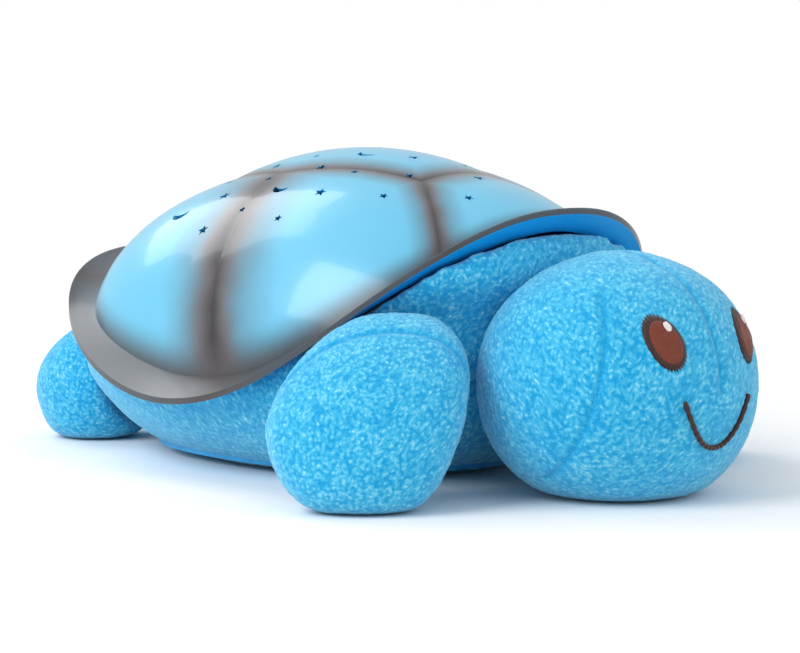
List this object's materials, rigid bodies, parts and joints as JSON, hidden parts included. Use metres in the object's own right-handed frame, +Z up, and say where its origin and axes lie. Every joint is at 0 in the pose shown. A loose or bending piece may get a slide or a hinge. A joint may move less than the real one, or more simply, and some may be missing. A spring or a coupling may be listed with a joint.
{
  "type": "star night light projector",
  "caption": "Stuffed turtle night light: plush body, head and limbs under a rigid glossy domed shell with star holes, lamps and buttons inside.",
  "frame": {"origin": "bottom centre of the whole object's box: on the surface it rests on, under the middle", "axes": "+Z up; the head points to -Y, so Y is the long way; +X is the turtle's left side"},
  "size_m": [0.265, 0.3521, 0.1274],
  "materials": {
    "shell_plastic": "moulded translucent ABS, high gloss, grey airbrushing in the grooves",
    "base_plastic": "moulded ABS, satin",
    "plush": "short-pile tufted plush",
    "binding": "woven tape, sewn",
    "eye_thread": "satin-stitch embroidery",
    "mouth_thread": "stitched line",
    "button_plastic": "moulded, gloss",
    "circuit_board": "solder mask",
    "black_plastic": "moulded",
    "steel": "plated",
    "cell_jacket": "printed film, plain",
    "lens_blue": "clear epoxy",
    "lens_green": "clear epoxy",
    "lens_amber": "clear epoxy",
    "wire_red": "insulation",
    "wire_black": "insulation",
    "wire_white": "insulation"
  },
  "bodies": {
    "housing": {"shell_cover": "shell_plastic", "base_housing": "base_plastic", "plush_body": "plush", "head": "plush", "tail": "plush", "front_flipper_right": "plush", "front_flipper_left": "plush", "rear_foot_right": "plush", "rear_foot_left": "plush", "belly_binding": "binding", "eye_right": "eye_thread", "eye_left": "eye_thread", "mouth": "mouth_thread", "control_board": "circuit_board", "led_board": "circuit_board", "tact_switches": "black_plastic", "board_screws": "steel", "shell_screws": "steel", "battery_springs": "steel", "battery_contacts": "steel", "battery_cell_1": "cell_jacket", "battery_cell_2": "cell_jacket", "battery_cell_3": "cell_jacket", "led_post": "base_plastic", "led_blue": "lens_blue", "led_green": "lens_green", "led_amber": "lens_amber", "wire_battery_positive": "wire_red", "wire_battery_negative": "wire_black", "wire_lamp": "wire_white"},
    "button_left": {"button_left": "button_plastic"},
    "button_middle": {"button_middle": "button_plastic"},
    "button_right": {"button_right": "button_plastic"},
    "battery_door": {"battery_door": "base_plastic", "battery_door_screw": "steel"}
  },
  "joints": [
    {"name": "button_right_press", "type": "slide", "parent": "housing", "child": "button_right", "axis": [0, -0.4127, -0.9109], "range_m": [0, 0.001], "stiffness_N_per_m": 900, "springref_m": -0.0005},
    {"name": "button_middle_press", "type": "slide", "parent": "housing", "child": "button_middle", "axis": [0, -0.4127, -0.9109], "range_m": [0, 0.001], "stiffness_N_per_m": 900, "springref_m": -0.0005},
    {"name": "button_left_press", "type": "slide", "parent": "housing", "child": "button_left", "axis": [0, -0.4127, -0.9109], "range_m": [0, 0.001], "stiffness_N_per_m": 900, "springref_m": -0.0005},
    {"name": "battery_door_lift", "type": "slide", "parent": "housing", "child": "battery_door", "axis": [0, 0, -1], "range_m": [0, 0.03]}
  ]
}
